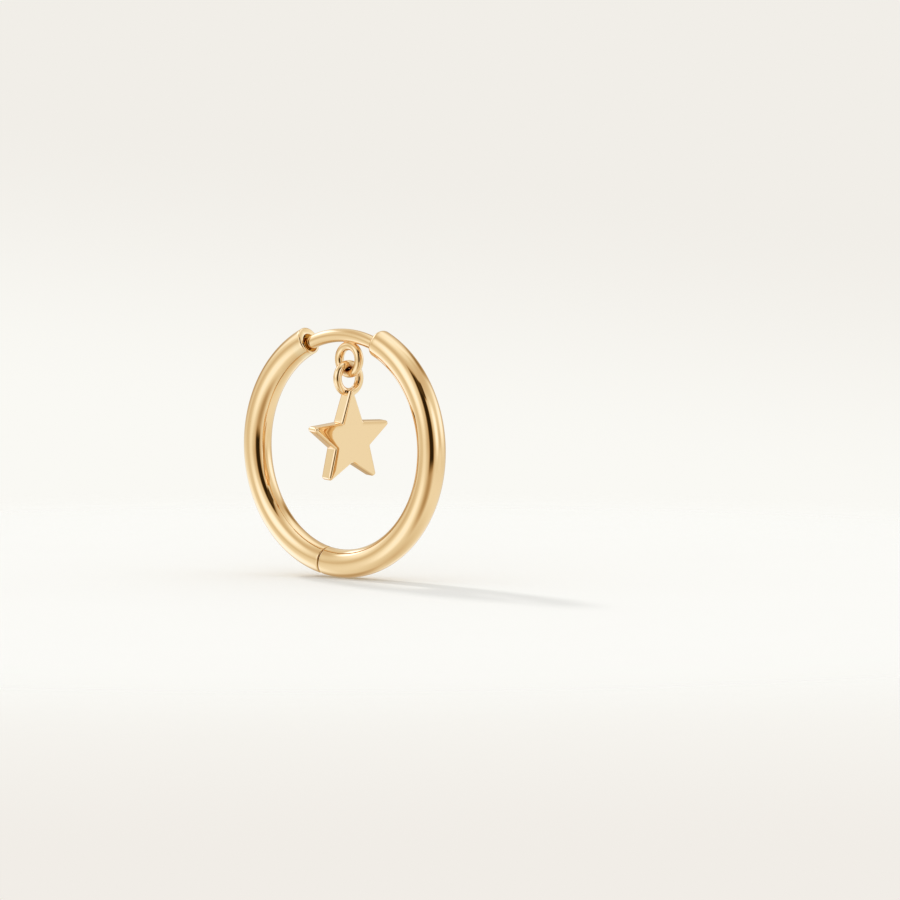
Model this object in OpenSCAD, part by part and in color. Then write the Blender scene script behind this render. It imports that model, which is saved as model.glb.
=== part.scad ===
// Hinged hoop earring with a five-pointed star charm that hangs inside the hoop.
// The hoop stands upright in the XZ plane. The origin is the middle of the ear post at its
// highest point, where the earring rests in the ear. +X points to the half that carries the
// ear post, and the star hangs down along -Z.

/* [Hoop] */
// Radius of the hoop, measured to the middle of the round tube
hoop_r = 8; // [7.6:0.1:9]
// Diameter of the round tube
tube_d = 1.95; // [1.9:0.05:2.2]
// Angle from the top of the hoop to the end of each half
end_angle = 22.8; // [21:0.2:25]
// Rounding of the top end that carries the ear post
post_end_round = 0.35; // [0.2:0.05:0.5]
// Rounding of the rim of the flat end with the socket
socket_rim_round = 0.1; // [0.05:0.01:0.1]
// Angle from the bottom of the hoop to the hinge seam, on the socket side
seam_angle = 11; // [8:0.5:14]
// Width of the seam between the two halves
seam_gap = 0.06; // [0.04:0.01:0.06]
// Rounding of the two rims that meet at the seam
seam_round = 0.1; // [0.05:0.01:0.12]

/* [Ear post] */
// Diameter of the curved ear post
post_d = 0.92; // [0.8:0.02:0.94]
// How far the ear post lies inside the middle of the tube
post_inset = 0.22; // [0.2:0.01:0.24]
// How deep the tip of the closed ear post sits in the socket
post_grip = 0.75; // [0.6:0.05:0.8]
// Diameter of the socket
socket_d = 1.32; // [1.3:0.01:1.34]
// How far the middle of the socket lies inside the middle of the tube
socket_inset = 0.18; // [0.16:0.01:0.2]
// Depth of the socket
socket_depth = 1.1; // [1:0.1:1.5]

/* [Hinge] */
// Diameter of the hidden hinge pin
pin_d = 0.28; // [0.24:0.01:0.3]
// Length of the hinge pin
pin_l = 1.1; // [0.9:0.05:1.1]
// Distance of the pin outwards from the middle of the tube
pin_out = 0.6; // [0.58:0.01:0.62]
// Distance of the pin from the middle of the seam, into the socket half
pin_back = 0.33; // [0.31:0.01:0.36]
// Radius of the round tongue that the pin passes through
tongue_r = 0.3; // [0.28:0.01:0.3]
// Thickness of the tongue
tongue_t = 0.5; // [0.4:0.02:0.5]
// Gap round the tongue in its slot
tongue_gap = 0.035; // [0.03:0.005:0.04]
// Gap round the hinge pin
pin_gap = 0.025; // [0.015:0.005:0.03]

/* [Rings] */
// Sideways distance of the upper ring from the top of the hoop
upper_ring_x = 0.57; // [0:0.01:0.6]
// Sideways distance of the lower ring and the star from the top of the hoop
charm_x = 0.49; // [0:0.01:0.6]
// Turn of the upper ring about the vertical
upper_ring_turn = 3.5; // [0:0.5:6]
// Turn of the lower ring about the vertical
lower_ring_turn = 9; // [0:0.5:10]
// Outer diameter of the upper ring
upper_ring_d = 2.5; // [2.4:0.05:2.6]
// Wire diameter of the upper ring
upper_wire_d = 0.6; // [0.5:0.02:0.6]
// How deep the upper ring sinks into the underside of the ear post
upper_ring_sink = 0.07; // [0.05:0.01:0.1]
// Outer diameter of the lower ring
lower_ring_d = 2.5; // [2.4:0.02:2.6]
// Wire diameter of the lower ring
lower_wire_d = 0.57; // [0.5:0.01:0.6]
// Gap between the two wires where the rings hang in each other
link_gap = 0.03; // [0.02:0.01:0.06]

/* [Star] */
// How far an even star would end below the middle of the lower ring's wire
star_drop = 0.03; // [0:0.01:0.05]
// Radius of the star out to its rounded tips
star_r = 3.23; // [3:0.02:3.4]
// How far the top tip is drawn up into the lower ring's solder
star_draw = 0.3; // [0:0.05:0.3]
// Radius of the star at the notches between its points
star_notch_r = 1.57; // [1.5:0.01:1.7]
// Thickness of the star in its middle
star_t = 1.14; // [1:0.02:1.2]
// How much thinner the face gets from its middle to its rim
star_dome = 0.04; // [0.01:0.01:0.04]
// How far the rounding of the rim reaches in over the face
star_edge_in = 0.18; // [0.1:0.01:0.18]
// How far the rounding of the rim reaches down the side
star_edge_down = 0.23; // [0.15:0.01:0.25]
// Turn of the star about the vertical
star_turn = 12.9; // [0:0.1:14]
// Lean of the star in its own plane
star_lean = 3.2; // [0:0.1:4]
// Tilt of the star's front face towards the ground
star_tilt = 3.5; // [0:0.1:4]
// Rounding of the tips, seen from the front
tip_round = 0.2; // [0.19:0.01:0.24]
// Rounding of the notches, seen from the front
notch_round = 0.1; // [0.08:0.01:0.15]

/* [Hidden] */
$fn = 96;

gold = [0.93, 0.79, 0.55];
tube_r = tube_d / 2;
post_r = post_d / 2;

// The ear post runs on a circle about the middle of the hoop, and its highest point is the origin
post_path_r = hoop_r - post_inset;
hoop_z = -post_path_r;

// Angles run about the middle of the hoop, from +X over the top, and go on round to the bottom
post_end_at = 90 - end_angle;
socket_end_at = 90 + end_angle;
seam_at = 270 - seam_angle;
half_seam = angle_of(seam_gap / 2, hoop_r);
post_tip_at = socket_end_at + angle_of(post_grip - post_r, post_path_r);

// Each rounded end is slimmer than the tube by the step, and reaches into it
end_step = 0.004;
end_reach = 0.03;

pin_hole_r = pin_d / 2 + pin_gap;
slot_r = tongue_r + tongue_gap;
slot_t = tongue_t + 2 * tongue_gap;
// The outer corner of the socket half turns on this radius about the pin
heel_r = pin_back + seam_gap / 2;
heel_gap = 0.04;
// How far the root of the tongue reaches past the middle of the seam, into the post half
tongue_root = seam_round + 0.3;
// Length of a cut that passes right through the tube
through = 3 * tube_d;

upper_wire_r = upper_wire_d / 2;
lower_wire_r = lower_wire_d / 2;
upper_ring_r = (upper_ring_d - upper_wire_d) / 2;
lower_ring_r = (lower_ring_d - lower_wire_d) / 2;
post_under_z = hoop_z + sqrt(post_path_r * post_path_r - upper_ring_x * upper_ring_x) - post_r;
upper_ring_z = post_under_z + upper_ring_sink - upper_ring_d / 2;
link_z = upper_ring_z - upper_ring_r;
lower_ring_z = link_z + upper_wire_r + lower_wire_r + link_gap - lower_ring_r;
star_z = lower_ring_z - lower_ring_r - star_drop - star_r;

star_points = 5;
star_half_step = 180 / star_points;
// Radius of the same star with sharp tips, and half the angles at its tips and its notches
star_sharp_r = sharp_tip_r();
tip_half_angle = half_tip(star_sharp_r);
notch_half_angle = tip_half_angle + star_half_step;
tip_centre_r = star_sharp_r - tip_round / sin(tip_half_angle);
notch_centre_r = star_notch_r + notch_round / sin(notch_half_angle);
// Angle through which the outline turns at each side of a tip's and of a notch's middle
tip_sweep = 90 - tip_half_angle;
notch_sweep = 90 - notch_half_angle;
// Height from which the top point is drawn up, and how much longer it gets
draw_from = star_notch_r * cos(star_half_step);
draw_scale = 1 + star_draw / (star_r - draw_from);
// Straight stretches in the round of a tip, of a notch and of the rim
tip_facets = 6;
notch_facets = 4;
rim_facets = 5;

// Angle of a stretch of arc
function angle_of(length, radius) = length / radius * 180 / PI;

function polar(radius, angle) = [radius * cos(angle), radius * sin(angle)];

// Half the angle at the tips of the star, for sharp tips at tip_r
function half_tip(tip_r) = atan2(star_notch_r * sin(star_half_step),
                                 tip_r - star_notch_r * cos(star_half_step));

// Tip radius of the sharp star whose tips, once rounded, reach star_r, found in a few steps
function sharp_tip_r(tip_r = star_r, steps = 6) =
    steps == 0 ? tip_r
               : sharp_tip_r(star_r - tip_round + tip_round / sin(half_tip(tip_r)), steps - 1);

// Points of the star's outline, drawn in from its edge by inset
function star_outline(inset) = [
    for (i = [0:star_points - 1])
        let (tip_at = 90 + 2 * i * star_half_step, notch_at = tip_at + star_half_step)
            each [
                for (k = [0:tip_facets])
                    polar(tip_centre_r, tip_at)
                        + polar(tip_round - inset, tip_at + share(k, tip_facets) * tip_sweep),
                for (k = [0:notch_facets])
                    polar(notch_centre_r, notch_at)
                        - polar(notch_round + inset, notch_at - share(k, notch_facets) * notch_sweep)
            ]
];

// Height of a point of the outline once the top point is drawn up
function drawn_up(y) = y < draw_from ? y : draw_from + (y - draw_from) * draw_scale;

// Even steps from -1 to 1
function share(step, steps) = 2 * step / steps - 1;

// Ring of points round the rim, at an angle from its upright side up to its face
function rim_ring(angle, side) = [
    for (p = star_outline(star_edge_in * (1 - cos(angle))))
        [p[0], drawn_up(p[1]), side * (star_t / 2 - star_dome - star_edge_down * (1 - sin(angle)))]
];

// Places its children on the hoop, with their X outwards and their Z along the hoop's path
module on_hoop(angle, radius = hoop_r) {
    translate([0, 0, hoop_z]) rotate([0, -angle, 0]) translate([radius, 0, 0]) children();
}

// Round bar bent about the middle of the hoop
module bent_bar(from, to, radius, bar_r) {
    translate([0, 0, hoop_z])
        rotate([90, 0, 0])
            rotate([0, 0, from])
                rotate_extrude(angle = to - from)
                    translate([radius, 0]) circle(bar_r);
}

// Short end of the tube, flat with a rounded rim, which rises from the XY plane and reaches
// a little way into the tube below it
module tube_end(rim) {
    flat_r = tube_r - end_step - rim;
    rotate_extrude() {
        square([flat_r, rim]);
        translate([0, -end_reach]) square([flat_r + rim, end_reach]);
        intersection() {
            translate([flat_r, 0]) circle(rim);
            square([flat_r + rim, rim]);
        }
    }
}

// Stretch of the hoop's tube whose flat ends have rounded rims
module tube_half(from, to, from_rim, to_rim) {
    body_from = from + angle_of(from_rim, hoop_r);
    body_to = to - angle_of(to_rim, hoop_r);
    bent_bar(body_from, body_to, hoop_r, tube_r);
    on_hoop(body_to) tube_end(to_rim);
    on_hoop(body_from) mirror([0, 0, 1]) tube_end(from_rim);
}

// Cylinder along Y on the axis of the hinge pin
module about_pin(radius, length) {
    on_hoop(seam_at)
        translate([pin_out, 0, -pin_back])
            rotate([90, 0, 0]) cylinder(r = radius, h = length, center = true);
}

// Block at the hinge pin: out and along are its reach outwards and along the hoop's path
module block_at_pin(out, along, width) {
    on_hoop(seam_at)
        translate([pin_out + out[0], -width / 2, -pin_back + along[0]])
            cube([out[1] - out[0], width, along[1] - along[0]]);
}

// Round ring that hangs in an upright plane
module wire_ring(ring_r, wire_r) {
    rotate([90, 0, 0]) rotate_extrude() translate([ring_r, 0]) circle(wire_r);
}

// Sets its children at a sideways distance and a height, turned about the vertical
module hung_at(x, z, turn) {
    translate([x, 0, z]) rotate([0, 0, -turn]) children();
}

module tongue() {
    difference() {
        union() {
            about_pin(tongue_r, tongue_t);
            block_at_pin([-tongue_r, tongue_r], [0, pin_back + tongue_root], tongue_t);
        }
        about_pin(pin_hole_r, through);
    }
}

module tongue_slot() {
    about_pin(slot_r, slot_t);
    // Room for the tongue at rest
    block_at_pin([-slot_r, 0], [0, pin_back], slot_t);
    // Way out for the tongue as the hinge opens, on the outside of the hoop
    block_at_pin([0, tube_r], [-slot_r, pin_back], slot_t);
}

// Outer corner of the socket half, beyond the round that turns past the other half
module heel_corner() {
    difference() {
        block_at_pin([0, tube_r], [0, 2 * pin_back], through);
        about_pin(heel_r, through + tube_d);
    }
}

module ear_post() {
    root_at = post_end_at - angle_of(post_end_round + tube_r, hoop_r);
    bent_bar(root_at, post_tip_at, post_path_r, post_r);
    on_hoop(post_tip_at, post_path_r) sphere(post_r);
}

module socket() {
    on_hoop(socket_end_at, hoop_r - socket_inset)
        translate([0, 0, -socket_depth])
            cylinder(d = socket_d, h = 2 * socket_depth);
}

// Star with a rounded rim and slightly domed faces, laid up from rings of points
module star_body() {
    rings = [
        for (k = [rim_facets:-1:0]) rim_ring(90 * k / rim_facets, -1),
        for (k = [0:rim_facets]) rim_ring(90 * k / rim_facets, 1)
    ];
    around = len(rings[0]);
    last = len(rings) - 1;
    middle = len(rings) * around;
    polyhedron(
        points = [
            for (ring = rings) each ring,
            [0, 0, -star_t / 2],
            [0, 0, star_t / 2]
        ],
        faces = [
            for (i = [0:around - 1], next = (i + 1) % around)
                each [
                    [middle, i, next],
                    [middle + 1, last * around + next, last * around + i],
                    for (k = [0:last - 1])
                        each [
                            [k * around + i, (k + 1) * around + i, k * around + next],
                            [k * around + next, (k + 1) * around + i, (k + 1) * around + next]
                        ]
                ]
        ]
    );
}

// Half with the ear post, the upper ring soldered under it, and the hinge tongue
module post_half() {
    color(gold) {
        difference() {
            tube_half(seam_at - 360 + half_seam, post_end_at, seam_round, post_end_round);
            about_pin(heel_r + heel_gap, through);
        }
        tongue();
        ear_post();
        hung_at(upper_ring_x, upper_ring_z, upper_ring_turn) wire_ring(upper_ring_r, upper_wire_r);
    }
}

// Half with the socket for the ear post and the slot for the hinge tongue
module socket_half() {
    color(gold)
        difference() {
            tube_half(socket_end_at, seam_at - half_seam, socket_rim_round, seam_round);
            socket();
            tongue_slot();
            heel_corner();
            about_pin(pin_hole_r, pin_l + 2 * pin_gap);
        }
}

module hinge_pin() {
    color(gold) about_pin(pin_d / 2, pin_l);
}

// Star with the lower ring soldered to its top tip
module star_charm() {
    color(gold) {
        hung_at(charm_x, lower_ring_z, lower_ring_turn + 90) wire_ring(lower_ring_r, lower_wire_r);
        hung_at(charm_x, star_z, star_turn)
            rotate([0, star_tilt, 0]) rotate([90, 0, 90]) rotate(star_lean) star_body();
    }
}

post_half();
socket_half();
hinge_pin();
star_charm();
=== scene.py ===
"""Hinged hoop earring of polished gold with a star charm that hangs inside it, on a pale studio floor."""

import math

import bpy
from mathutils import Matrix, Vector


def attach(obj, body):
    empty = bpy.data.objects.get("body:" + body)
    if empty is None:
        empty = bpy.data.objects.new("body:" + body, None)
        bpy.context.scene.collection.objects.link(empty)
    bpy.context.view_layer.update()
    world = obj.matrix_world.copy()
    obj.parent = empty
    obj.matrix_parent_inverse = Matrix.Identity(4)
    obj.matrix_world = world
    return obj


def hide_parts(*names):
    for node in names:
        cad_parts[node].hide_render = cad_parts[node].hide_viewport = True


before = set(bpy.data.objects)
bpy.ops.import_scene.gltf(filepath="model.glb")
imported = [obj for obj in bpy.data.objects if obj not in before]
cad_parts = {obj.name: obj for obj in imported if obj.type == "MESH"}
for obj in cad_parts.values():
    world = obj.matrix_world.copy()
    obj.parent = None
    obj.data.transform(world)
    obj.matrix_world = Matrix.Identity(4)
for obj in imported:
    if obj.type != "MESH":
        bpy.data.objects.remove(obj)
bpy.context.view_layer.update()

# Sizes are in millimetres while a piece is shaped, and a finished piece is brought to metres
MM = 0.001
SMOOTH_ANGLE = math.radians(35)
# Points closer than this are in the same place
SAME_PLACE = 0.0001
JUST_OVER = 1.001

# Hoop. Angles along it run about its middle, from +X over the top
HOOP_R = 8.0
TUBE_R = 0.975
POST_INSET = 0.22
POST_PATH_R = HOOP_R - POST_INSET
HOOP_Z = -POST_PATH_R
HOOP_MIDDLE = Vector((0, 0, HOOP_Z))
# Angles of the two ends from the highest point, and of the seam from the lowest
END_ANGLE = 22.8
SEAM_ANGLE = 11.0
POST_END_AT = 90 - END_ANGLE
SOCKET_END_AT = 90 + END_ANGLE
SEAM_AT = 270 - SEAM_ANGLE
SEAM_GAP = 0.06
SEAM_ROUND = 0.1
POST_END_ROUND = 0.35
SOCKET_RIM_ROUND = 0.1
SOCKET_RIM_FLATNESS = 1.35
TUBE_SIDES = 128
DEGREES_PER_STEP = 1.25
ROUND_STEPS = 10

# Ear post and its socket
POST_R = 0.46
POST_SIDES = 96
POST_GRIP = 0.75
# The round tip ends in a disc too small to see, because a bar can't end in a point
POST_TIP_ROUND = POST_R * 0.999
SOCKET_R = 0.66
SOCKET_INSET = 0.18
SOCKET_DEPTH = 1.1
SOCKET_MOUTH = 0.05

# Hinge
PIN_R = 0.14
PIN_L = 1.1
PIN_OUT = 0.6
PIN_BACK = 0.33
PIN_GAP = 0.025
PIN_HOLE_R = PIN_R + PIN_GAP
PIN_HOLE_L = PIN_L + 2 * PIN_GAP
PIN_SIDES = 64
TONGUE_R = 0.3
TONGUE_T = 0.5
TONGUE_GAP = 0.035
TONGUE_ROOT = SEAM_ROUND + 0.3
HEEL_R = PIN_BACK + SEAM_GAP / 2
HEEL_GAP = 0.04
THROUGH = 3.0

# Rings
RING_OUTER_R = 1.25
UPPER_WIRE_R = 0.3
LOWER_WIRE_R = 0.285
UPPER_RING_R = RING_OUTER_R - UPPER_WIRE_R
LOWER_RING_R = RING_OUTER_R - LOWER_WIRE_R
UPPER_RING_X = 0.57
UPPER_RING_SINK = 0.07
UPPER_RING_TURN = 3.5
LOWER_RING_TURN = 9.0
CHARM_X = 0.49
LINK_GAP = 0.03
POST_UNDER_Z = HOOP_Z + math.sqrt(POST_PATH_R ** 2 - UPPER_RING_X ** 2) - POST_R
UPPER_RING_Z = POST_UNDER_Z + UPPER_RING_SINK - RING_OUTER_R
LINK_Z = UPPER_RING_Z - UPPER_RING_R
LOWER_RING_Z = LINK_Z + UPPER_WIRE_R + LOWER_WIRE_R + LINK_GAP - LOWER_RING_R
# The wires are drawn a hair thicker, so that no light shows between the linked rings
UPPER_DRAWN_R = UPPER_WIRE_R + 0.01
LOWER_DRAWN_R = LOWER_WIRE_R + 0.012
WIRE_SIDES = 48
RING_STEPS = 128
RING_MERGE = 0.001

# Star
STAR_POINTS = 5
STAR_HALF_STEP = 180 / STAR_POINTS
STAR_R = 3.23
STAR_DROP = 0.03
STAR_Z = LOWER_RING_Z - LOWER_RING_R - STAR_DROP - STAR_R
STAR_NOTCH_R = 1.57
STAR_T = 1.14
STAR_EDGE_IN = 0.18
STAR_EDGE_UP = 0.23
STAR_DOME = 0.015
STAR_SWELL = 0.045
STAR_DOME_REACH = 0.3
STAR_DRAW = 0.3
STAR_TIP_ROUND = 0.2
STAR_NOTCH_ROUND = 0.1
STAR_TURN = 12.9
STAR_LEAN = 3.2
STAR_TILT = 3.5
# Share of the rim's round, on the side of the face, that the first ring of the face takes over
STAR_RIM_LEFT_OUT = 0.1
# Distances in from the rim at which the face has a ring of points
STAR_FACE_INSETS = (0.02, 0.04, 0.07, 0.1, 0.14, 0.18, 0.23, 0.3, 0.45, 0.65, 0.85, 1.05)
STAR_TIP_STEPS = 8
STAR_SIDE_STEPS = 10
STAR_NOTCH_STEPS = 4
STAR_MERGE = 0.0005

# Solder at the joints of the rings
SOLDER_VOXEL = 0.02
SOLDER_SMOOTH = 40
SOLDER_REACH = 0.9
SOLDER_BALL_SIDES = 48
SOLDER_SINK = 0.012

# Studio. Directions are in degrees, with azimuth 0 on the side of -Y and 90 on that of +X
SUN_AZIMUTH = -107.0
SUN_ELEVATION = 36.0
SUN_STRENGTH = 0.9
SUN_WIDTH = 7.0
FLOOR_LIGHT = 0.895

# Camera
CAMERA_AZIMUTH = 40.075
CAMERA_ELEVATION = 3.228
CAMERA_DISTANCE = 299.0
CAMERA_RIGHT = 7.3786
CAMERA_UP = -0.145
CAMERA_LENS = 173.27
SENSOR = 36.0
CLIP_START = 0.01
CLIP_END = 10.0

# Floor
FLOOR_GAP = 0.002
FLOOR_Z = HOOP_Z - HOOP_R - TUBE_R - FLOOR_GAP
FLOOR_R = 160.0
FLOOR_SIDES = 96
FLOOR_CLEAR_R = 95.0
FLOOR_FULL_R = 30.0


def nothing_selected():
    if bpy.context.object and bpy.context.object.mode != "OBJECT":
        bpy.ops.object.mode_set(mode="OBJECT")
    bpy.ops.object.select_all(action="DESELECT")


def only(piece):
    nothing_selected()
    piece.select_set(True)
    bpy.context.view_layer.objects.active = piece


def edit(piece, select="DESELECT"):
    only(piece)
    bpy.ops.object.mode_set(mode="EDIT")
    bpy.ops.mesh.select_mode(type="FACE")
    bpy.ops.mesh.select_all(action=select)


def pick_vertices(piece, wanted):
    """In edit mode, selects the vertices whose place passes the test."""
    bpy.ops.mesh.select_mode(type="VERT")
    bpy.ops.mesh.select_all(action="DESELECT")
    bpy.ops.object.mode_set(mode="OBJECT")
    for vertex in piece.data.vertices:
        vertex.select = wanted(vertex.co)
    bpy.ops.object.mode_set(mode="EDIT")


def edit_done():
    bpy.ops.object.mode_set(mode="OBJECT")


def outward(piece):
    edit(piece, "SELECT")
    bpy.ops.mesh.normals_make_consistent(inside=False)
    edit_done()


def place(piece, matrix):
    """Sets a piece at a place and puts that place into its mesh."""
    piece.matrix_world = matrix @ piece.matrix_world
    only(piece)
    bpy.ops.object.transform_apply(location=True, rotation=True, scale=True)


def turned(degrees, axis):
    return Matrix.Rotation(math.radians(degrees), 4, axis)


def hoop_place(degrees, radius=HOOP_R):
    """Place on the hoop, with X outwards and Z along the hoop's path."""
    return Matrix.Translation(HOOP_MIDDLE) @ turned(-degrees, "Y") @ Matrix.Translation((radius, 0, 0))


def pin_place():
    return hoop_place(SEAM_AT) @ Matrix.Translation((PIN_OUT, 0, -PIN_BACK))


def hung_at(x, z, turn):
    """Place at a sideways distance and a height, turned about the vertical."""
    return Matrix.Translation((x, 0, z)) @ turned(-turn, "Z")


def arc_degrees(length, radius):
    return math.degrees(length / radius)


def apply_modifiers(piece):
    only(piece)
    for modifier in list(piece.modifiers):
        bpy.ops.object.modifier_apply(modifier=modifier.name)


def copy_of(piece, name):
    twin = piece.copy()
    twin.data = piece.data.copy()
    twin.name = name
    bpy.context.collection.objects.link(twin)
    return twin


def combine(piece, other, operation):
    """Cuts a closed shape out of a piece, joins it on, or keeps what they share. The other shape goes."""
    modifier = piece.modifiers.new("combine", "BOOLEAN")
    modifier.operation = operation
    modifier.solver = "EXACT"
    modifier.object = other
    apply_modifiers(piece)
    bpy.data.objects.remove(other, do_unlink=True)


def disc(radius, sides, name):
    nothing_selected()
    bpy.ops.mesh.primitive_circle_add(vertices=sides, radius=radius, fill_type="NGON")
    piece = bpy.context.object
    piece.name = name
    return piece


def extrude(dz, scale=1.0):
    """Pulls the selected face up along Z and makes it larger or smaller."""
    bpy.ops.mesh.extrude_region_move(TRANSFORM_OT_translate={"value": (0, 0, dz)})
    if scale != 1.0:
        bpy.ops.transform.resize(value=(scale, scale, 1), center_override=(0, 0, 0))


def ring_on_path(path_r, degrees):
    at = math.radians(degrees)
    return Vector((path_r * math.cos(at), 0, HOOP_Z + path_r * math.sin(at)))


def quarter_turn():
    """Angles from 0 to 90 degrees in even steps."""
    return [math.radians(90 * i / ROUND_STEPS) for i in range(ROUND_STEPS + 1)]


def rounded_end(at, radius, rim, way, path_r=HOOP_R, flatness=1.0):
    """Angle and radius along a flat end with a rounded rim. way is 1 where the bar lies past the end.

    A flatness of 1 is a round, and 2 would be a flat chamfer.
    """
    stations = []
    for turn in quarter_turn():
        along = rim * (1 - max(math.cos(turn), 0) ** flatness)
        out = rim * math.sin(turn) ** flatness
        stations.append((at + way * arc_degrees(along, path_r), radius - rim + out))
    return stations


def bent_bar(name, path_r, stations, sides):
    """Round bar spun along the hoop's path, whose stations give an angle and the radius there."""
    at, radius = stations[0]
    piece = disc(radius, sides, name)
    place(piece, hoop_place(at, path_r))
    edit(piece, "SELECT")
    for to, to_r in stations[1:]:
        steps = max(1, round(abs(to - at) / DEGREES_PER_STEP))
        bpy.ops.mesh.spin(steps=steps, angle=math.radians(to - at), center=HOOP_MIDDLE, axis=(0, 1, 0))
        if to_r != radius:
            share = to_r / radius
            bpy.ops.transform.resize(value=(share,) * 3, center_override=ring_on_path(path_r, to))
        at, radius = to, to_r
    edit_done()
    outward(piece)
    return piece


def tube_half(name, start, end, start_rim, end_rim, start_flatness=1.0):
    stations = rounded_end(start, TUBE_R, start_rim, 1, flatness=start_flatness)
    stations += rounded_end(end, TUBE_R, end_rim, -1)[::-1]
    return bent_bar(name, HOOP_R, stations, TUBE_SIDES)


def pin_cylinder(radius, length):
    nothing_selected()
    bpy.ops.mesh.primitive_cylinder_add(
        vertices=PIN_SIDES, radius=radius, depth=length, rotation=(math.pi / 2, 0, 0)
    )
    piece = bpy.context.object
    place(piece, pin_place())
    return piece


def pin_block(out, along, width):
    """Block at the hinge pin, with its reach outwards and along the hoop's path."""
    nothing_selected()
    middle = ((out[0] + out[1]) / 2, 0, (along[0] + along[1]) / 2)
    size = (out[1] - out[0], width, along[1] - along[0])
    bpy.ops.mesh.primitive_cube_add(size=1, location=middle, scale=size)
    piece = bpy.context.object
    place(piece, pin_place())
    return piece


def hinge_tongue():
    tongue = pin_cylinder(TONGUE_R, TONGUE_T)
    combine(tongue, pin_block((-TONGUE_R, TONGUE_R), (0, PIN_BACK + TONGUE_ROOT), TONGUE_T), "UNION")
    combine(tongue, pin_cylinder(PIN_HOLE_R, THROUGH), "DIFFERENCE")
    return tongue


def post_tube():
    """Half of the hoop's tube that carries the ear post, with the hinge tongue."""
    seam = SEAM_AT - 360 + arc_degrees(SEAM_GAP / 2, HOOP_R)
    tube = tube_half("post_tube", seam, POST_END_AT, SEAM_ROUND, POST_END_ROUND)
    combine(tube, pin_cylinder(HEEL_R + HEEL_GAP, THROUGH), "DIFFERENCE")
    combine(tube, hinge_tongue(), "UNION")
    return tube


def socket_cutter():
    """Round socket whose mouth opens in a small round."""
    cutter = disc(SOCKET_R, TUBE_SIDES, "socket_cutter")
    edit(cutter, "SELECT")
    extrude(SOCKET_DEPTH - SOCKET_MOUTH)
    depth, radius = SOCKET_MOUTH, SOCKET_R
    for turn in quarter_turn()[1:]:
        to_depth = SOCKET_MOUTH * (1 - math.sin(turn))
        to_radius = SOCKET_R + SOCKET_MOUTH * (1 - math.cos(turn))
        extrude(depth - to_depth, to_radius / radius)
        depth, radius = to_depth, to_radius
    extrude(SOCKET_DEPTH)
    edit_done()
    outward(cutter)
    place(cutter, hoop_place(SOCKET_END_AT, HOOP_R - SOCKET_INSET) @ turned(180, "X")
          @ Matrix.Translation((0, 0, -SOCKET_DEPTH)))
    return cutter


def socket_tube():
    """Half of the hoop's tube with the socket for the ear post and the slot for the hinge tongue."""
    seam = SEAM_AT - arc_degrees(SEAM_GAP / 2, HOOP_R)
    tube = tube_half("socket_tube", SOCKET_END_AT, seam, SOCKET_RIM_ROUND, SEAM_ROUND, SOCKET_RIM_FLATNESS)
    slot_r = TONGUE_R + TONGUE_GAP
    slot_t = TONGUE_T + 2 * TONGUE_GAP
    combine(tube, socket_cutter(), "DIFFERENCE")
    combine(tube, pin_cylinder(slot_r, slot_t), "DIFFERENCE")
    combine(tube, pin_block((-slot_r, 0), (0, PIN_BACK), slot_t), "DIFFERENCE")
    combine(tube, pin_block((0, TUBE_R), (-slot_r, PIN_BACK), slot_t), "DIFFERENCE")
    heel = pin_block((0, TUBE_R), (0, 2 * PIN_BACK), THROUGH)
    combine(heel, pin_cylinder(HEEL_R, 2 * THROUGH), "DIFFERENCE")
    combine(tube, heel, "DIFFERENCE")
    combine(tube, pin_cylinder(PIN_HOLE_R, PIN_HOLE_L), "DIFFERENCE")
    return tube


def ear_post():
    """Thin curved post with a round tip, which starts inside the tube."""
    root = POST_END_AT - arc_degrees(POST_END_ROUND + TUBE_R, HOOP_R)
    tip = SOCKET_END_AT + arc_degrees(POST_GRIP, POST_PATH_R)
    tip_steps = rounded_end(tip, POST_R, POST_TIP_ROUND, -1, POST_PATH_R)[::-1]
    return bent_bar("ear_post", POST_PATH_R, [(root, POST_R)] + tip_steps, POST_SIDES)


def wire_ring(name, ring_r, wire_r, where):
    """Round ring of wire that hangs in an upright plane, spun from a disc."""
    ring = disc(wire_r, WIRE_SIDES, name)
    place(ring, Matrix.Translation((ring_r, 0, 0)))
    edit(ring, "SELECT")
    bpy.ops.mesh.spin(
        steps=RING_STEPS, angle=math.tau, center=(0, 0, 0), axis=(0, 1, 0), use_auto_merge=True
    )
    bpy.ops.mesh.select_all(action="SELECT")
    bpy.ops.mesh.remove_doubles(threshold=RING_MERGE)
    bpy.ops.mesh.select_all(action="DESELECT")
    bpy.ops.mesh.select_mode(type="FACE")
    edit_done()
    # The disc that was spun is left inside the ring, and goes
    for face in ring.data.polygons:
        face.select = len(face.vertices) > 4
    bpy.ops.object.mode_set(mode="EDIT")
    bpy.ops.mesh.delete(type="FACE")
    edit_done()
    outward(ring)
    place(ring, where)
    return ring


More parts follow.
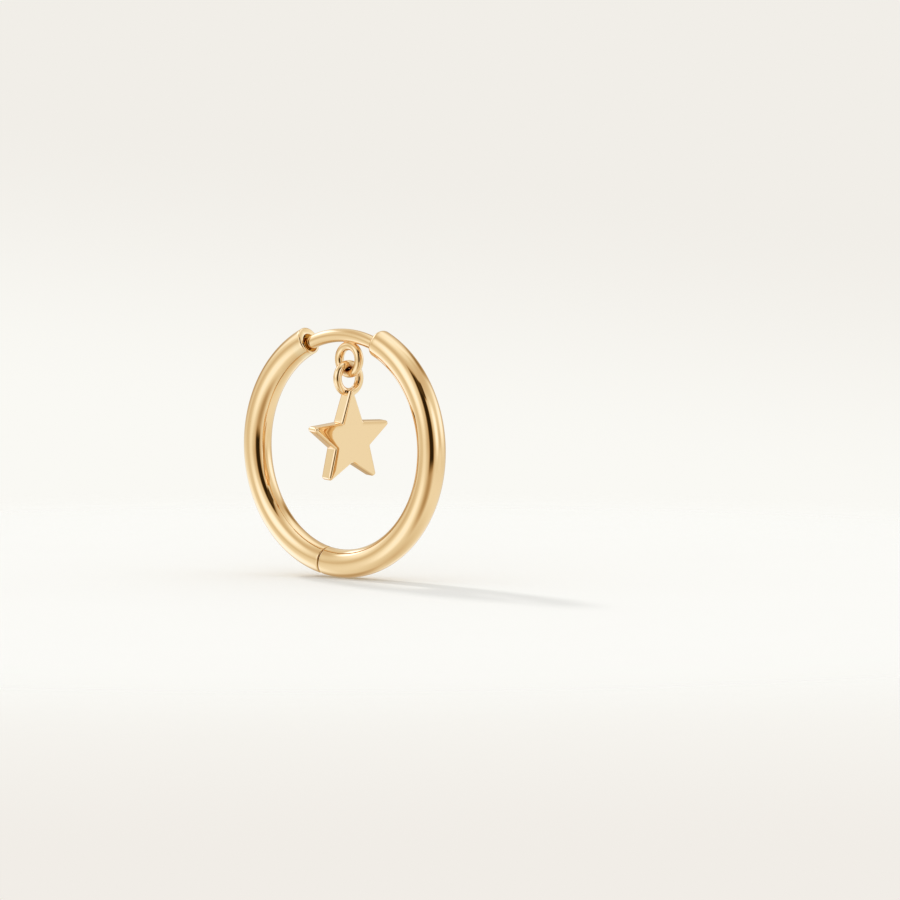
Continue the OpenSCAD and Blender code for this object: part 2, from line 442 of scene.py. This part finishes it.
def rim_profile():
    """Half of the star's rim, seen from the side: upright at first, then round onto the face."""
    nothing_selected()
    bpy.ops.mesh.primitive_circle_add(vertices=4 * ROUND_STEPS, radius=1, fill_type="NOTHING")
    rim = bpy.context.object
    rim.name = "star"
    place(rim, turned(90, "Z") @ turned(90, "X"))
    edit(rim)
    pick_vertices(rim, lambda co: co.y < STAR_RIM_LEFT_OUT or co.z < -SAME_PLACE)
    bpy.ops.mesh.delete(type="VERT")
    edit_done()
    rim_z = STAR_T / 2 - STAR_DOME - STAR_SWELL - STAR_EDGE_UP
    place(rim, Matrix.Translation((0, STAR_R - STAR_EDGE_IN, rim_z))
          @ Matrix.Diagonal((1, STAR_EDGE_IN, STAR_EDGE_UP, 1)))
    edit(rim)
    pick_vertices(rim, lambda co: co.y > STAR_R - SAME_PLACE)
    bpy.ops.mesh.extrude_region_move()
    bpy.ops.transform.resize(value=(1, 1, 0), center_override=(0, 0, 0))
    edit_done()
    return rim


def star_shape():
    """Star with rounded tips and notches.

    Its rim is swept from the middle of a tip to the middle of a notch, and the rest is copied from that.
    """
    half_step = math.radians(STAR_HALF_STEP)
    notch_x, notch_y = STAR_NOTCH_R * math.sin(half_step), STAR_NOTCH_R * math.cos(half_step)
    # Tip radius of the sharp star whose tips, once rounded, reach STAR_R, found in a few steps
    sharp_r = STAR_R
    for _ in range(8):
        half_tip = math.atan2(notch_x, sharp_r - notch_y)
        sharp_r = STAR_R - STAR_TIP_ROUND + STAR_TIP_ROUND / math.sin(half_tip)
    half_notch = half_tip + half_step
    notch_at = math.pi / 2 - half_step
    notch_centre_r = STAR_NOTCH_R + STAR_NOTCH_ROUND / math.sin(half_notch)
    notch_centre = Vector((notch_centre_r * math.cos(notch_at), notch_centre_r * math.sin(notch_at), 0))
    tip_centre = Vector((0, STAR_R - STAR_TIP_ROUND, 0))
    side_normal = Vector((math.cos(half_tip), math.sin(half_tip), 0))
    side = notch_centre - STAR_NOTCH_ROUND * side_normal - tip_centre - STAR_TIP_ROUND * side_normal

    star = rim_profile()
    edit(star)
    bpy.ops.mesh.select_mode(type="EDGE")
    bpy.ops.mesh.select_all(action="SELECT")
    round_tip = math.pi / 2 - half_tip
    round_notch = notch_at - half_tip
    bpy.ops.mesh.spin(steps=STAR_TIP_STEPS, angle=round_tip, center=tip_centre, axis=(0, 0, 1))
    for _ in range(STAR_SIDE_STEPS):
        bpy.ops.mesh.extrude_region_move(TRANSFORM_OT_translate={"value": side / STAR_SIDE_STEPS})
    bpy.ops.mesh.spin(steps=STAR_NOTCH_STEPS, angle=round_notch, center=notch_centre, axis=(0, 0, -1))
    rim_top = max(vertex.co.z for vertex in star.data.vertices)
    side_r = sharp_r * math.sin(half_tip) - STAR_EDGE_IN
    pick_vertices(star, lambda co: co.z > rim_top - SAME_PLACE)
    insets = (0, *STAR_FACE_INSETS)
    scales = [1 - inset / side_r for inset in insets]
    heights = [STAR_DOME * (1 - max(1 - inset / STAR_DOME_REACH, 0) ** 2) for inset in insets]
    for i in range(1, len(insets)):
        extrude(heights[i] - heights[i - 1], scales[i] / scales[i - 1])
    edit_done()
    mirror = star.modifiers.new("mirror", "MIRROR")
    mirror.merge_threshold = STAR_MERGE
    apply_modifiers(star)
    edit(star, "SELECT")
    copies = STAR_POINTS - 1
    bpy.ops.mesh.spin(
        steps=copies, angle=2 * copies * half_step, center=(0, 0, 0), axis=(0, 0, 1), dupli=True
    )
    bpy.ops.mesh.select_all(action="SELECT")
    bpy.ops.mesh.remove_doubles(threshold=STAR_MERGE)
    inner_ring_r = STAR_R * scales[-1] * JUST_OVER
    pick_vertices(star, lambda co: math.hypot(co.x, co.y) < inner_ring_r)
    bpy.ops.mesh.edge_face_add()
    # The face swells gently towards its middle, and the star's middle plane stays flat
    pick_vertices(star, lambda co: co.z < SAME_PLACE)
    bpy.ops.mesh.hide()
    pick_vertices(star, lambda co: math.hypot(co.x, co.y) < inner_ring_r)
    bpy.ops.transform.translate(
        value=(0, 0, STAR_SWELL), use_proportional_edit=True,
        proportional_edit_falloff="INVERSE_SQUARE", proportional_size=STAR_R,
    )
    bpy.ops.mesh.reveal(select=False)
    edit_done()
    mirror = star.modifiers.new("mirror", "MIRROR")
    mirror.use_axis = (False, False, True)
    mirror.merge_threshold = STAR_MERGE
    apply_modifiers(star)
    outward(star)
    # The top point is drawn up into the solder
    longer = 1 + STAR_DRAW / (STAR_R - notch_y)
    edit(star)
    pick_vertices(star, lambda co: co.y > notch_y)
    bpy.ops.transform.resize(value=(1, longer, 1), center_override=(0, notch_y, 0))
    edit_done()
    hung = hung_at(CHARM_X, STAR_Z, STAR_TURN) @ turned(STAR_TILT, "Y")
    place(star, hung @ turned(90, "Z") @ turned(90, "X") @ turned(STAR_LEAN, "Z"))
    return star


def solder(name, pieces, middle):
    """Soft fillet where two pieces meet: their joined form there, smoothed until the crease fills."""
    fillet = copy_of(pieces[0], name)
    combine(fillet, copy_of(pieces[1], name + "_other"), "UNION")
    nothing_selected()
    bpy.ops.mesh.primitive_uv_sphere_add(
        segments=SOLDER_BALL_SIDES, ring_count=SOLDER_BALL_SIDES // 2, radius=SOLDER_REACH, location=middle
    )
    ball = bpy.context.object
    place(ball, Matrix())
    combine(fillet, ball, "INTERSECT")
    remesh = fillet.modifiers.new("remesh", "REMESH")
    remesh.mode = "VOXEL"
    remesh.voxel_size = SOLDER_VOXEL
    smooth = fillet.modifiers.new("smooth", "SMOOTH")
    smooth.factor = 0.5
    smooth.iterations = SOLDER_SMOOTH
    apply_modifiers(fillet)
    edit(fillet, "SELECT")
    bpy.ops.transform.shrink_fatten(value=-SOLDER_SINK)
    edit_done()
    return fillet


def finish(piece, body, material, nodes=()):
    """Brings a piece to metres and hands it to its body."""
    place(piece, Matrix.Scale(MM, 4))
    only(piece)
    bpy.ops.object.shade_smooth_by_angle(angle=SMOOTH_ANGLE)
    weighted = piece.modifiers.new("weighted", "WEIGHTED_NORMAL")
    weighted.keep_sharp = True
    apply_modifiers(piece)
    piece.data.materials.clear()
    piece.data.materials.append(material)
    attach(piece, body)
    if nodes:
        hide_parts(*nodes)
    nothing_selected()


# Shader node groups

def new_group(name, inputs, outputs):
    """Empty node group with named sockets. An input gives its name, its kind and its first value."""
    group = bpy.data.node_groups.new(name, "ShaderNodeTree")
    for socket_name, kind, value in inputs:
        socket = group.interface.new_socket(socket_name, in_out="INPUT", socket_type="NodeSocket" + kind)
        socket.default_value = value
    for socket_name, kind in outputs:
        group.interface.new_socket(socket_name, in_out="OUTPUT", socket_type="NodeSocket" + kind)
    return group, group.nodes.new("NodeGroupInput"), group.nodes.new("NodeGroupOutput")


class Tree:
    """Short ways to add nodes to a tree. A value that is a socket is linked, and any other is set."""

    def __init__(self, tree):
        self.tree = tree

    def put(self, socket, value):
        if isinstance(value, bpy.types.NodeSocket):
            self.tree.links.new(value, socket)
        else:
            socket.default_value = value

    def node(self, kind, values=(), **settings):
        node = self.tree.nodes.new("ShaderNode" + kind)
        for name, value in settings.items():
            setattr(node, name, value)
        for socket, value in dict(values).items():
            self.put(node.inputs[socket], value)
        return node

    def math(self, operation, *values, clamp=False):
        node = self.node("Math", enumerate(values), operation=operation, use_clamp=clamp)
        return node.outputs[0]

    def smoothstep(self, value, low, high):
        node = self.node("MapRange", {0: value, 1: low, 2: high}, interpolation_type="SMOOTHSTEP")
        return node.outputs[0]

    def mix(self, share, first, second):
        node = self.node("Mix", {0: share, 2: first, 3: second}, data_type="FLOAT")
        return node.outputs[0]

    def mix_color(self, share, first, second):
        node = self.node("Mix", {0: share, 6: first, 7: second}, data_type="RGBA")
        return node.outputs[2]

    def group(self, group, values=()):
        node = self.node("Group", node_tree=group)
        for socket, value in dict(values).items():
            self.put(node.inputs[socket], value)
        return node


def hand_polish_group():
    """Faint unevenness that polishing by hand leaves: slow ripples and fine rubbed haze."""
    group, given, result = new_group(
        "Hand polish",
        [("Roughness", "Float", 0.05), ("Haze", "Float", 0.05), ("Ripple Scale", "Float", 400.0)],
        [("Roughness", "Float"), ("Height", "Float")],
    )
    tree = Tree(group)
    place_on = tree.node("TexCoord").outputs["Object"]
    ripple_scale = given.outputs["Ripple Scale"]
    ripple = tree.node("TexNoise", {"Vector": place_on, "Scale": ripple_scale, "Detail": 1.0})
    rub_scale = tree.math("MULTIPLY", ripple_scale, 6.0)
    rub = tree.node("TexNoise", {"Vector": place_on, "Scale": rub_scale, "Detail": 4.0, "Roughness": 0.6})
    haze = tree.smoothstep(rub.outputs[0], 0.45, 0.75)
    rough = tree.math("MULTIPLY_ADD", haze, given.outputs["Haze"], given.outputs["Roughness"])
    tree.put(result.inputs["Roughness"], rough)
    tree.put(result.inputs["Height"], ripple.outputs[0])
    return group


def crevice_shade_group():
    """Mask of painted shade that grows towards a place where two pieces meet, broken up by a little noise.
    """
    group, given, result = new_group(
        "Crevice shade",
        [("Middle", "Vector", (0.0, 0.0, 0.0)), ("Reach", "Float", 0.001), ("Core", "Float", 0.0005)],
        [("Mask", "Float")],
    )
    tree = Tree(group)
    place_on = tree.node("TexCoord").outputs["Object"]
    away = tree.node("VectorMath", {0: place_on, 1: given.outputs["Middle"]}, operation="DISTANCE")
    near = tree.smoothstep(away.outputs["Value"], given.outputs["Reach"], given.outputs["Core"])
    # Noise that makes the painted shade patchy
    shade_noise = tree.node("TexNoise", {"Vector": place_on, "Scale": 1500.0, "Detail": 3.0})
    patchy = tree.math("MULTIPLY_ADD", shade_noise.outputs[0], 0.6, 0.7)
    tree.put(result.inputs["Mask"], tree.math("MULTIPLY", near, patchy, clamp=True))
    return group


def seam_shade_group():
    """Thin line of painted shade on both sides of a cut."""
    group, given, result = new_group(
        "Seam",
        [
            ("Middle", "Vector", (0.0, 0.0, 0.0)), ("Across", "Vector", (1.0, 0.0, 0.0)),
            ("Half Width", "Float", 0.0001), ("Reach", "Float", 0.0014), ("Core", "Float", 0.0012),
        ],
        [("Mask", "Float")],
    )
    tree = Tree(group)
    place_on = tree.node("TexCoord").outputs["Object"]
    half_width = given.outputs["Half Width"]
    away = tree.node("VectorMath", {0: place_on, 1: given.outputs["Middle"]}, operation="SUBTRACT")
    away = away.outputs["Vector"]
    across = tree.node("VectorMath", {0: away, 1: given.outputs["Across"]}, operation="DOT_PRODUCT")
    side = tree.math("ABSOLUTE", across.outputs["Value"])
    line = tree.smoothstep(side, half_width, tree.math("MULTIPLY", half_width, 0.6))
    near = tree.node("VectorMath", {0: away}, operation="LENGTH")
    inside = tree.smoothstep(near.outputs["Value"], given.outputs["Reach"], given.outputs["Core"])
    tree.put(result.inputs["Mask"], tree.math("MULTIPLY", line, inside))
    return group


def panel_group():
    """Soft-edged panel of light, or a dark one, round the studio. Angles are in degrees."""
    group, given, result = new_group(
        "Panel",
        [
            ("Level", "Float", 1.0), ("Azimuth", "Float", 0.0), ("Elevation", "Float", 0.0),
            ("Panel Level", "Float", 1.0), ("Panel Azimuth", "Float", 0.0),
            ("Panel Elevation", "Float", 0.0), ("Half Width", "Float", 10.0),
            ("Half Height", "Float", 10.0), ("Edge", "Float", 10.0), ("Slant", "Float", 0.0),
        ],
        [("Level", "Float")],
    )
    tree = Tree(group)
    lift = tree.math("SUBTRACT", given.outputs["Elevation"], given.outputs["Panel Elevation"])
    turn = tree.math("SUBTRACT", given.outputs["Azimuth"], given.outputs["Panel Azimuth"])
    turn = tree.math("WRAP", turn, 180.0, -180.0)
    turn = tree.math("SUBTRACT", turn, tree.math("MULTIPLY", lift, given.outputs["Slant"]))
    sides = []
    for distance, half in ((turn, "Half Width"), (lift, "Half Height")):
        past = tree.math("SUBTRACT", tree.math("ABSOLUTE", distance), given.outputs[half])
        sides.append(tree.math("MAXIMUM", past, 0.0))
    corner = tree.math("SQRT", tree.math("ADD", *(tree.math("MULTIPLY", side, side) for side in sides)))
    mask = tree.smoothstep(corner, given.outputs["Edge"], 0.0)
    level = tree.mix(mask, given.outputs["Level"], given.outputs["Panel Level"])
    tree.put(result.inputs["Level"], level)
    return group


RUBBED_HAZE = 0.02
RIPPLE_STRENGTH = 0.1
RIPPLE_HEIGHT = 0.000002
TONE_SCALE = 250.0
TONE_SHARE = 0.12
CREVICE_SHADE_CORE = 1 / 2.2

HAND_POLISH = hand_polish_group()
CREVICE_SHADE = crevice_shade_group()
SEAM_SHADE = seam_shade_group()
PANEL = panel_group()


def gold(name, base, roughness, crevice_shades, seam=None):
    """Polished gold.

    Each crevice shade is painted shade round a place where pieces meet: a middle, a reach, a colour and
    the share of the colour that comes through.
    The seam is a thin line of painted shade along the cut: a middle, the direction across it, half its
    width and a colour. Lengths are in metres.
    """
    material = bpy.data.materials.new(name)
    material.use_nodes = True
    shader = material.node_tree.nodes["Principled BSDF"]
    tree = Tree(material.node_tree)
    shader.inputs["Metallic"].default_value = 1.0
    polish = tree.group(HAND_POLISH, {"Roughness": roughness, "Haze": RUBBED_HAZE})
    tone = tree.node("TexNoise", {"Vector": tree.node("TexCoord").outputs["Object"], "Scale": TONE_SCALE})
    warmth = tree.math("MULTIPLY", tone.outputs[0], TONE_SHARE)
    color = tree.mix_color(warmth, (*base, 1), (*WARM_GOLD_TONE_AND_SHADE, 1))
    # Painted shade round each crevice
    for middle, reach, shade, share in crevice_shades:
        near = tree.group(CREVICE_SHADE, {"Middle": middle, "Reach": reach, "Core": reach * CREVICE_SHADE_CORE})
        depth = tree.math("MULTIPLY", near.outputs["Mask"], share)
        color = tree.mix_color(depth, color, (*shade, 1))
    # Thin line of painted shade along the seam's cut
    if seam:
        middle, across, half_width, shade = seam
        line = tree.group(SEAM_SHADE, {"Middle": middle, "Across": across, "Half Width": half_width})
        color = tree.mix_color(line.outputs["Mask"], color, (*shade, 1))
    tree.put(shader.inputs["Base Color"], color)
    tree.put(shader.inputs["Roughness"], polish.outputs["Roughness"])
    ripples = {"Strength": RIPPLE_STRENGTH, "Distance": RIPPLE_HEIGHT, "Height": polish.outputs["Height"]}
    bump = tree.node("Bump", ripples)
    tree.put(shader.inputs["Normal"], bump.outputs["Normal"])
    return material


def metres(vector):
    return tuple(MM * value for value in vector)


PALE_GOLD = (0.89, 0.64, 0.358)
# Painted light: a lighter copy of the hoop's gold, which brightens the star's face
CHARM_GOLD_PAINTED_LIGHTER = (0.92, 0.68, 0.4)
# Warm gold for the metal's faint random tone, and painted shade round the seam and the solder joints
WARM_GOLD_TONE_AND_SHADE = (0.74, 0.45, 0.18)
# Painted shade in the link of the two rings
LINK_SHADE_BROWN = (0.3, 0.12, 0.03)
# Painted light: a paler gold in and round the socket, which lightens the shade in its hollow
SOCKET_PAINTED_LIGHT_GOLD = (0.88, 0.78, 0.54)
# Painted shade along the seam's cut
SEAM_SHADE_GOLD = (0.7, 0.44, 0.17)

SEAM_MIDDLE = metres(ring_on_path(HOOP_R, SEAM_AT))
SEAM_ACROSS = (-math.sin(math.radians(SEAM_AT)), 0.0, math.cos(math.radians(SEAM_AT)))
# Half-way down the socket
SOCKET_MIDDLE = metres(ring_on_path(HOOP_R - SOCKET_INSET, SOCKET_END_AT + 4))
POST_JOINT = Vector((UPPER_RING_X, 0, UPPER_RING_Z + UPPER_RING_R + UPPER_DRAWN_R))
STAR_JOINT = Vector((CHARM_X, 0, LOWER_RING_Z - LOWER_RING_R))
LINK_MIDDLE = metres((CHARM_X, 0, LINK_Z + UPPER_DRAWN_R))

# Painted shade: warmer gold round the seam and under the post's solder, and dark brown in the link of the
# rings
polished_gold = gold(
    "Polished gold", PALE_GOLD, 0.03,
    [
        (SEAM_MIDDLE, 0.0011, WARM_GOLD_TONE_AND_SHADE, 0.3), (SOCKET_MIDDLE, 0.0011, SOCKET_PAINTED_LIGHT_GOLD, 1.0),
        (metres(POST_JOINT), 0.0004, WARM_GOLD_TONE_AND_SHADE, 0.4), (LINK_MIDDLE, 0.00058, LINK_SHADE_BROWN, 0.9),
    ],
    seam=(SEAM_MIDDLE, SEAM_ACROSS, 0.00009, SEAM_SHADE_GOLD),
)
# Painted light on the charm's lighter gold, and painted shade at the star's solder and in the link of the
# rings
charm_gold_painted_lighter = gold(
    "Charm gold painted lighter", CHARM_GOLD_PAINTED_LIGHTER, 0.04,
    [(metres(STAR_JOINT), 0.0004, WARM_GOLD_TONE_AND_SHADE, 0.4), (LINK_MIDDLE, 0.00058, LINK_SHADE_BROWN, 0.9)],
)


# Pieces

tube_with_post = post_tube()
tube_with_socket = socket_tube()
post = ear_post()
upper_place = hung_at(UPPER_RING_X, UPPER_RING_Z, UPPER_RING_TURN)
upper_ring = wire_ring("upper_ring", UPPER_RING_R, UPPER_DRAWN_R, upper_place)
lower_place = hung_at(CHARM_X, LOWER_RING_Z, LOWER_RING_TURN + 90)
lower_ring = wire_ring("lower_ring", LOWER_RING_R, LOWER_DRAWN_R, lower_place)
star = star_shape()
post_solder = solder("post_solder", (post, upper_ring), POST_JOINT)
star_solder = solder("star_solder", (star, lower_ring), STAR_JOINT)

finish(tube_with_post, "post_half", polished_gold, ["post_half"])
finish(post, "post_half", polished_gold)
finish(upper_ring, "post_half", polished_gold)
finish(post_solder, "post_half", polished_gold)
finish(tube_with_socket, "socket_half", polished_gold, ["socket_half"])
finish(lower_ring, "star_charm", charm_gold_painted_lighter, ["star_charm"])
finish(star, "star_charm", charm_gold_painted_lighter)
finish(star_solder, "star_charm", charm_gold_painted_lighter)

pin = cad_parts["hinge_pin"]
pin.data.materials.clear()
pin.data.materials.append(polished_gold)


# Floor

FLOOR_PALE = (0.897, 0.889, 0.85)
FLOOR_PALER = (0.907, 0.899, 0.86)


def floor_material():
    material = bpy.data.materials.new("Studio floor")
    material.use_nodes = True
    shader = material.node_tree.nodes["Principled BSDF"]
    tree = Tree(material.node_tree)
    place_on = tree.node("TexCoord").outputs["Object"]
    grain = tree.node("TexNoise", {"Vector": place_on, "Scale": 60.0, "Detail": 2.0})
    color = tree.mix_color(grain.outputs[0], (*FLOOR_PALE, 1), (*FLOOR_PALER, 1))
    tree.put(shader.inputs["Base Color"], color)
    shader.inputs["Roughness"].default_value = 0.9
    shader.inputs["Specular IOR Level"].default_value = 0.0
    away = tree.node("VectorMath", {0: place_on}, operation="LENGTH")
    fade = tree.smoothstep(away.outputs["Value"], FLOOR_CLEAR_R * MM, FLOOR_FULL_R * MM)
    tree.put(shader.inputs["Alpha"], fade)
    return material


floor = disc(FLOOR_R, FLOOR_SIDES, "studio_floor")
place(floor, Matrix.Translation((0, 0, FLOOR_Z)))
place(floor, Matrix.Scale(MM, 4))
floor.data.materials.append(floor_material())
floor.visible_glossy = False


# Light

# Elevation, and the level of the studio's light there
HEIGHTS = (
    (-90, 0.72), (-60, 0.87), (-30, 0.97), (-5, 0.85), (1, 0.76),
    (30, 0.88), (52, 0.74), (62, 0.8), (73, 1.0), (90, 1.23),
)
HEIGHTS_TOP = 2.0

# Soft panels, each laid over the ones before it. Left and right are as the camera sees them
PANEL_COLUMNS = (
    "Panel Level", "Panel Azimuth", "Panel Elevation", "Half Width", "Half Height", "Edge", "Slant",
)
PANELS = (
    # Bright: overhead and behind, in front on the left and on the right, and on the far right
    (1.2, 191.2, 70.0, 27.2, 0.0, 38.6, -0.42),
    (1.33, -14.6, 19.8, 2.5, 4.8, 28.0, 0.07),
    (1.36, 89.8, 14.2, 0.0, 5.6, 24.0, 0.04),
    (1.3, 151.2, 13.9, 7.3, 0.0, 26.0, 0.27),
    # Dark behind, with a bright one on the left, and two dim ones behind on the left
    (0.25, 191.0, 26.0, 0.3, 3.0, 26.0, -1.35),
    (1.2, -77.7, 29.6, 4.6, 0.0, 29.8, -0.52),
    (0.5, -107.1, 11.1, 1.8, 0.6, 20.0, 0.26),
    (0.7, -149.7, 31.2, 2.6, 2.4, 23.4, 0.61),
    # Below: bright on the left, behind and in front, dim under the camera, and grey on the right
    (1.33, -112.9, -24.2, 33.7, 0.0, 30.5, 0.13),
    (1.2, -15.7, -25.6, 4.4, 6.8, 22.4, -0.07),
    (0.5, 39.9, -21.8, 0.6, 10.2, 38.0, 0.01),
    (0.95, 114.0, -10.0, 7.0, 4.0, 12.0, 0.0),
    # Nearly black, from the camera upwards
    (0.03, 42.1, 19.5, 10.5, 26.0, 12.0, -0.03),
    (0.08, 54.5, 42.4, 15.1, 5.0, 4.0, 0.27),
    # Dim low down behind, grey on the left, and one small light on the left
    (0.55, 233.1, -34.8, 0.1, 17.0, 38.0, -0.58),
    (0.88, -71.2, 5.0, 0.3, 4.4, 14.0, 0.5),
    (2.3, -92.0, 36.2, 13.0, 0.1, 11.0, 1.21),
)

# Level, and the green and blue that it gives. Its red is the level itself, so dim light is warm
TONES = (
    (0.0, 0.0, 0.0), (0.3, 0.21, 0.1), (0.5, 0.39, 0.24), (0.7, 0.62, 0.5), (0.85, 0.85, 0.78),
    (1.0, 1.06, 1.09), (1.15, 1.27, 1.43), (1.3, 1.42, 1.8), (4.0, 4.0, 4.0),
)
TONES_TOP = TONES[-1][0]

BACKDROP_MIDDLE = (0.956, 0.947, 0.904)
BACKDROP_ABOVE = (0.88, 0.855, 0.807)
BACKDROP_BELOW = (0.88, 0.847, 0.799)
# Elevations between which the backdrop turns from its middle colour to the ones above and below
BACKDROP_RISE = (-3.3, 0.6)
BACKDROP_FALL = (-5.4, -8.6)
BACKDROP_SLANT = -0.12


def set_curve(mapping, channel, points):
    """Gives a curve its points. A new curve has a first and a last one already."""
    curve = mapping.curves[channel]
    curve.points[0].location = points[0]
    curve.points[-1].location = points[-1]
    for point in points[1:-1]:
        curve.points.new(*point)
    mapping.update()


def panelled_light(tree, azimuth, elevation):
    """Light whose level changes with height and from panel to panel, and its colour with its level."""
    share = tree.node("MapRange", {0: elevation, 1: -90.0, 2: 90.0}).outputs[0]
    by_height = tree.node("FloatCurve", {"Value": share})
    points = [((height + 90) / 180, value / HEIGHTS_TOP) for height, value in HEIGHTS]
    set_curve(by_height.mapping, 0, points)
    level = tree.math("MULTIPLY", by_height.outputs[0], HEIGHTS_TOP)
    for panel in PANELS:
        values = dict(zip(PANEL_COLUMNS, panel))
        values.update({"Level": level, "Azimuth": azimuth, "Elevation": elevation})
        level = tree.group(PANEL, values).outputs["Level"]
    share = tree.math("DIVIDE", level, TONES_TOP)
    grey = tree.node("CombineColor", {0: share, 1: share, 2: share})
    toned = tree.node("RGBCurve", {1: grey.outputs[0]})
    for channel in (1, 2):
        points = [(tone[0] / TONES_TOP, tone[channel] / TONES_TOP) for tone in TONES]
        set_curve(toned.mapping, channel, points)
    return tree.node("Background", {"Color": toned.outputs[0], "Strength": TONES_TOP}).outputs[0]


def backdrop_light(tree, azimuth, elevation):
    """Plain backdrop, brighter behind the piece than above and below it."""
    aside = tree.math("SUBTRACT", azimuth, CAMERA_AZIMUTH - 180)
    height = tree.math("MULTIPLY_ADD", aside, BACKDROP_SLANT, elevation)
    above = tree.smoothstep(height, *BACKDROP_RISE)
    below = tree.smoothstep(elevation, *BACKDROP_FALL)
    color = tree.mix_color(above, (*BACKDROP_MIDDLE, 1), (*BACKDROP_ABOVE, 1))
    color = tree.mix_color(below, color, (*BACKDROP_BELOW, 1))
    return tree.node("Background", {"Color": color, "Strength": 1.0}).outputs[0]


def studio_light():
    """Pale studio, with panels for the gold to mirror, even light for the floor, and a plain backdrop."""
    world = bpy.data.worlds.new("Studio")
    bpy.context.scene.world = world
    world.use_nodes = True
    world.node_tree.nodes.clear()
    tree = Tree(world.node_tree)
    x, y, z = tree.node("SeparateXYZ", {0: tree.node("TexCoord").outputs["Generated"]}).outputs
    azimuth = tree.math("DEGREES", tree.math("ARCTAN2", x, tree.math("MULTIPLY", y, -1.0)))
    elevation = tree.math("DEGREES", tree.math("ARCSINE", z))
    mirrored = panelled_light(tree, azimuth, elevation)
    even = tree.node("Background", {"Color": (1.0, 1.0, 1.0, 1), "Strength": FLOOR_LIGHT}).outputs[0]
    backdrop = backdrop_light(tree, azimuth, elevation)
    path = tree.node("LightPath").outputs
    lit = tree.node("MixShader", {0: path["Is Diffuse Ray"], 1: mirrored, 2: even})
    shown = tree.node("MixShader", {0: path["Is Camera Ray"], 1: lit.outputs[0], 2: backdrop})
    tree.put(tree.node("OutputWorld").inputs["Surface"], shown.outputs[0])


def direction(azimuth, elevation):
    turn, lift = math.radians(azimuth), math.radians(elevation)
    return Vector((math.sin(turn) * math.cos(lift), -math.cos(turn) * math.cos(lift), math.sin(lift)))


def add_sun():
    """Weak sun that only casts the faint shadow on the floor."""
    nothing_selected()
    bpy.ops.object.light_add(type="SUN")
    sun = bpy.context.object
    towards = direction(SUN_AZIMUTH, SUN_ELEVATION)
    sun.matrix_world = towards.to_track_quat("Z", "Y").to_matrix().to_4x4()
    sun.data.energy = SUN_STRENGTH
    sun.data.angle = math.radians(SUN_WIDTH)
    sun.visible_glossy = False


def add_camera():
    right = direction(CAMERA_AZIMUTH + 90, 0)
    back = direction(CAMERA_AZIMUTH, CAMERA_ELEVATION)
    up = back.cross(right)
    eye = HOOP_MIDDLE + CAMERA_DISTANCE * back + CAMERA_RIGHT * right + CAMERA_UP * up
    camera = bpy.data.objects.new("camera", bpy.data.cameras.new("camera"))
    bpy.context.collection.objects.link(camera)
    camera.matrix_world = Matrix.Translation(MM * eye) @ Matrix((right, up, back)).transposed().to_4x4()
    camera.data.lens = CAMERA_LENS
    camera.data.sensor_width = SENSOR
    camera.data.clip_start = CLIP_START
    camera.data.clip_end = CLIP_END
    bpy.context.scene.camera = camera


studio_light()
add_sun()
add_camera()
bpy.context.scene.view_settings.view_transform = "Standard"
# Light bounces many times between the linked rings
bpy.context.scene.cycles.max_bounces = 20
bpy.context.scene.cycles.glossy_bounces = 16
